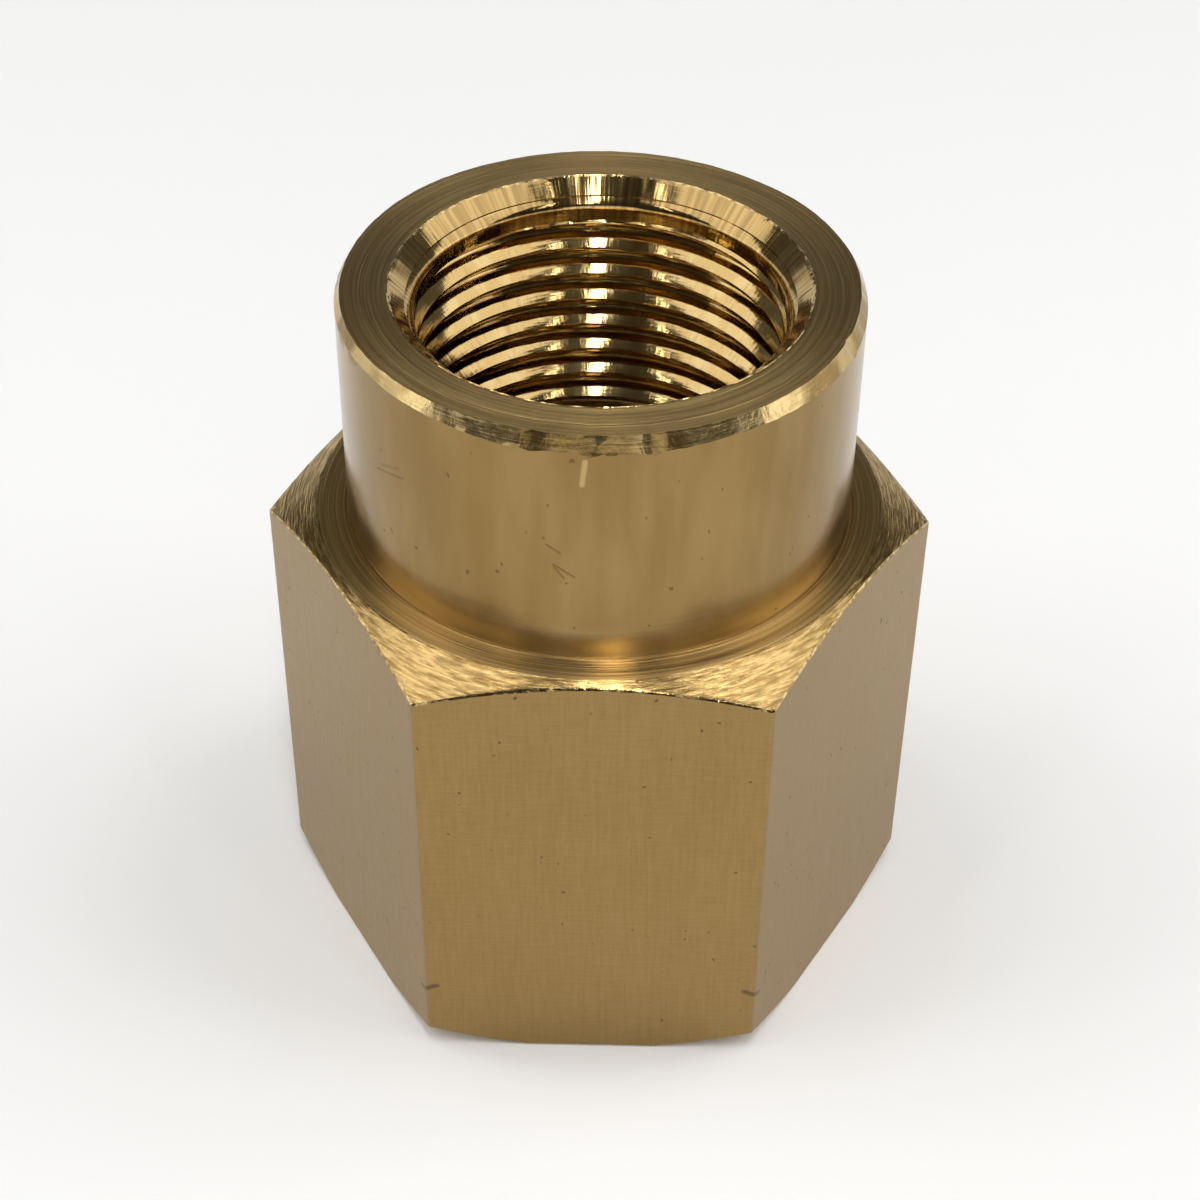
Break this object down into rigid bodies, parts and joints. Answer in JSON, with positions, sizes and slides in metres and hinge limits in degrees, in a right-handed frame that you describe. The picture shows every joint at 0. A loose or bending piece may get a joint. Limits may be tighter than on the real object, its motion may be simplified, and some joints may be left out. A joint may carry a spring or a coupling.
{
  "type": "reducing coupling",
  "caption": "Brass reducing coupling with a hexagonal body and a round collar, for joining pipes of two sizes by parallel female threads.",
  "frame": {"origin": "centre of the hexagonal end face, which holds the large thread", "axes": "+Z along the bore towards the round collar; two wrench flats face -Y and +Y, and two corners lie on X"},
  "size_m": [0.0294, 0.0254, 0.033],
  "materials": {
    "brass": "turned and drawn, uncoated, slightly dulled"
  },
  "bodies": {
    "root": {"coupling_body": "brass"}
  },
  "joints": []
}
